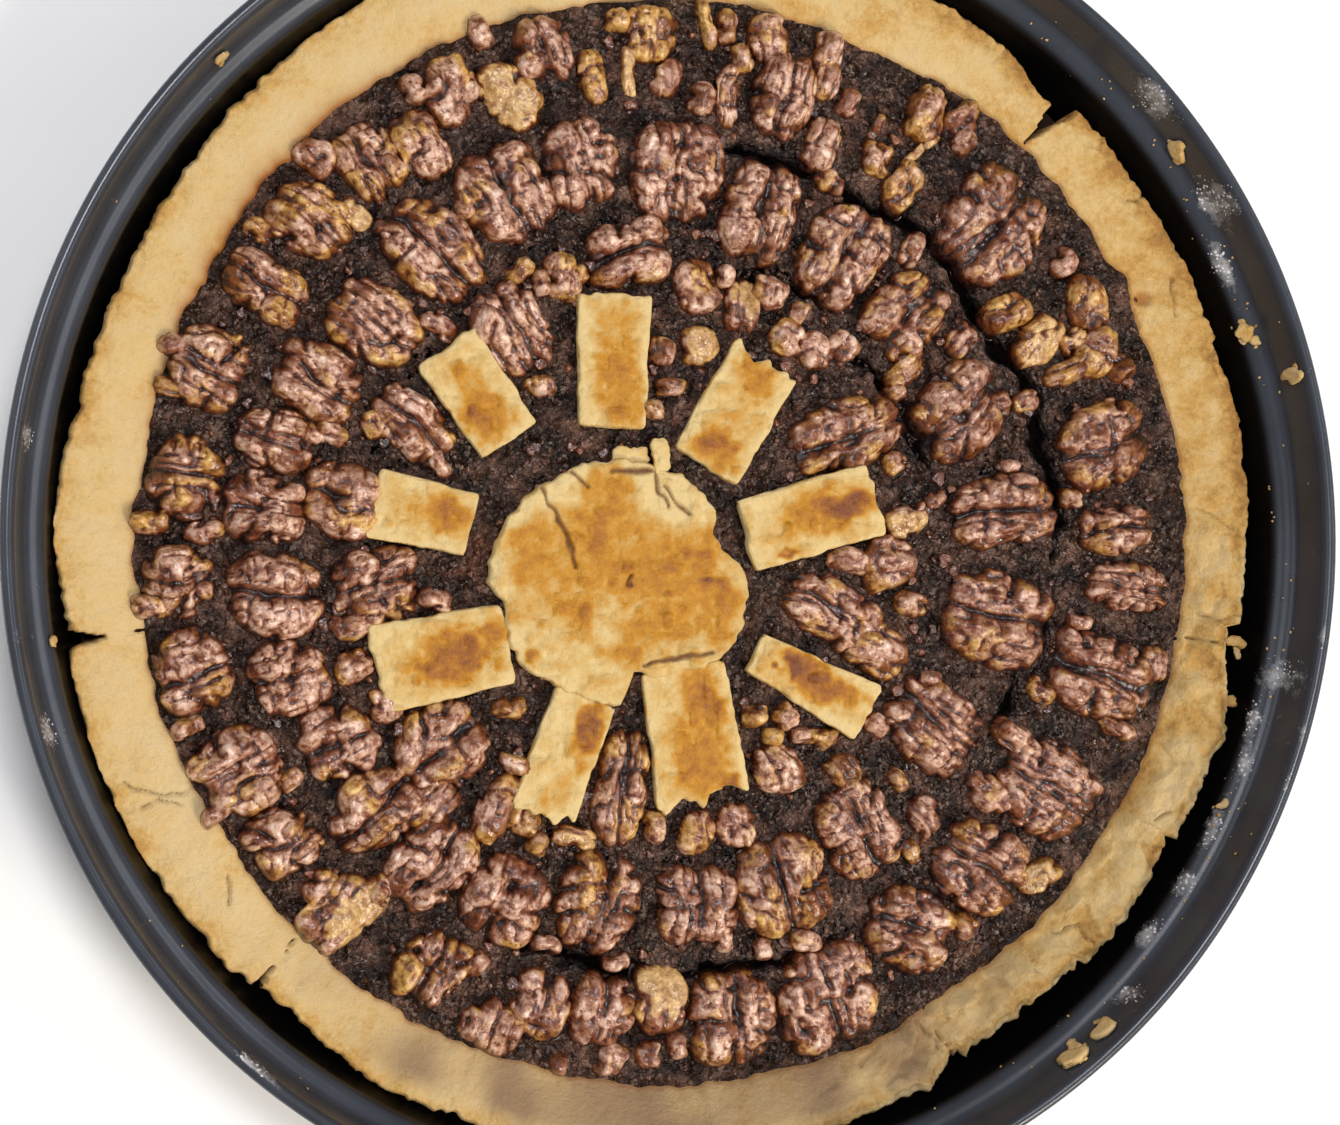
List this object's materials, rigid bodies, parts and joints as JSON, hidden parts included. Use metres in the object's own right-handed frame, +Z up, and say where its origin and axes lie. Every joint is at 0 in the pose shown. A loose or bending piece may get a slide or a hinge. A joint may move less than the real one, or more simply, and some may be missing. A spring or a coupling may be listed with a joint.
{
  "type": "walnut pie",
  "caption": "Round walnut pie in its own dark flared baking tin, with a shortcrust edge, a dark cracked filling, rings of walnut halves and a pastry sun on top.",
  "frame": {"origin": "middle of the tin's underside", "axes": "+Z up through the middle of the pie; -Y is the side nearest the viewer, +X to the right"},
  "size_m": [0.345, 0.345, 0.046],
  "materials": {
    "enamelled_steel": "black non-stick enamel, satin, with flour dust and crumbs",
    "shortcrust": "pale golden baked shortcrust, matte and flaky",
    "browned_pastry": "pale pastry browned amber in patches",
    "filling": "very dark brown baked nut filling, rough with small glossy bubbles",
    "walnut": "roasted walnut halves, brown skin with a soft gloss"
  },
  "bodies": {
    "root": {"filling": "filling", "pastry_case": "shortcrust", "sun_disc": "browned_pastry", "sun_ray_1": "browned_pastry", "sun_ray_2": "browned_pastry", "sun_ray_3": "browned_pastry", "sun_ray_4": "browned_pastry", "sun_ray_5": "browned_pastry", "sun_ray_6": "browned_pastry", "sun_ray_7": "browned_pastry", "sun_ray_8": "browned_pastry", "sun_ray_9": "browned_pastry", "tin": "enamelled_steel", "walnut_inner_01": "walnut", "walnut_inner_02": "walnut", "walnut_middle_01": "walnut", "walnut_middle_02": "walnut", "walnut_middle_03": "walnut", "walnut_middle_04": "walnut", "walnut_middle_05": "walnut", "walnut_middle_06": "walnut", "walnut_middle_07": "walnut", "walnut_middle_08": "walnut", "walnut_middle_09": "walnut", "walnut_middle_10": "walnut", "walnut_middle_11": "walnut", "walnut_middle_12": "walnut", "walnut_middle_13": "walnut", "walnut_middle_14": "walnut", "walnut_middle_15": "walnut", "walnut_middle_16": "walnut", "walnut_middle_17": "walnut", "walnut_middle_18": "walnut", "walnut_middle_19": "walnut", "walnut_middle_20": "walnut", "walnut_middle_21": "walnut", "walnut_middle_22": "walnut", "walnut_middle_23": "walnut", "walnut_middle_24": "walnut", "walnut_middle_25": "walnut", "walnut_outer_01": "walnut", "walnut_outer_02": "walnut", "walnut_outer_03": "walnut", "walnut_outer_04": "walnut", "walnut_outer_05": "walnut", "walnut_outer_06": "walnut", "walnut_outer_07": "walnut", "walnut_outer_08": "walnut", "walnut_outer_09": "walnut", "walnut_outer_10": "walnut", "walnut_outer_11": "walnut", "walnut_outer_12": "walnut", "walnut_outer_13": "walnut", "walnut_outer_14": "walnut", "walnut_outer_15": "walnut", "walnut_outer_16": "walnut", "walnut_outer_17": "walnut", "walnut_outer_18": "walnut", "walnut_outer_19": "walnut", "walnut_outer_20": "walnut"}
  },
  "joints": []
}
